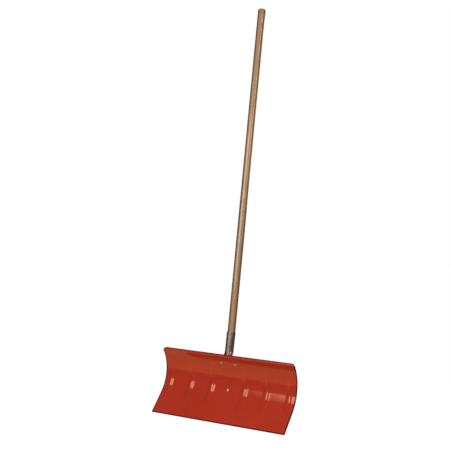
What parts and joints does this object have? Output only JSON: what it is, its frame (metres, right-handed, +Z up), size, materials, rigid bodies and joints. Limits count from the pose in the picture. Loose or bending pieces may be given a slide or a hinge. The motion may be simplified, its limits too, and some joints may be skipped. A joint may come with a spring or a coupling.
{
  "type": "snow pusher shovel",
  "caption": "Wide curled steel pusher blade with pressed ribs, riveted through a stamped socket to a long straight wooden handle.",
  "frame": {"origin": "on the ground under the middle of the whole tool's bounding box", "axes": "+Z up along the handle; X along the blade's width; the blade's hollow face looks toward -Y"},
  "size_m": [0.61, 0.0878, 1.711],
  "materials": {
    "blade_paint": "glossy red-orange enamel",
    "handle_wood": "clear varnished straight-grained hardwood",
    "socket_steel": "dark grey satin steel",
    "rivet_steel": "bright plated steel",
    "nail_steel": "bright plated steel"
  },
  "bodies": {
    "root": {"blade": "blade_paint", "handle": "handle_wood", "socket": "socket_steel", "blade_rivets": "rivet_steel", "socket_nail": "nail_steel"}
  },
  "joints": []
}
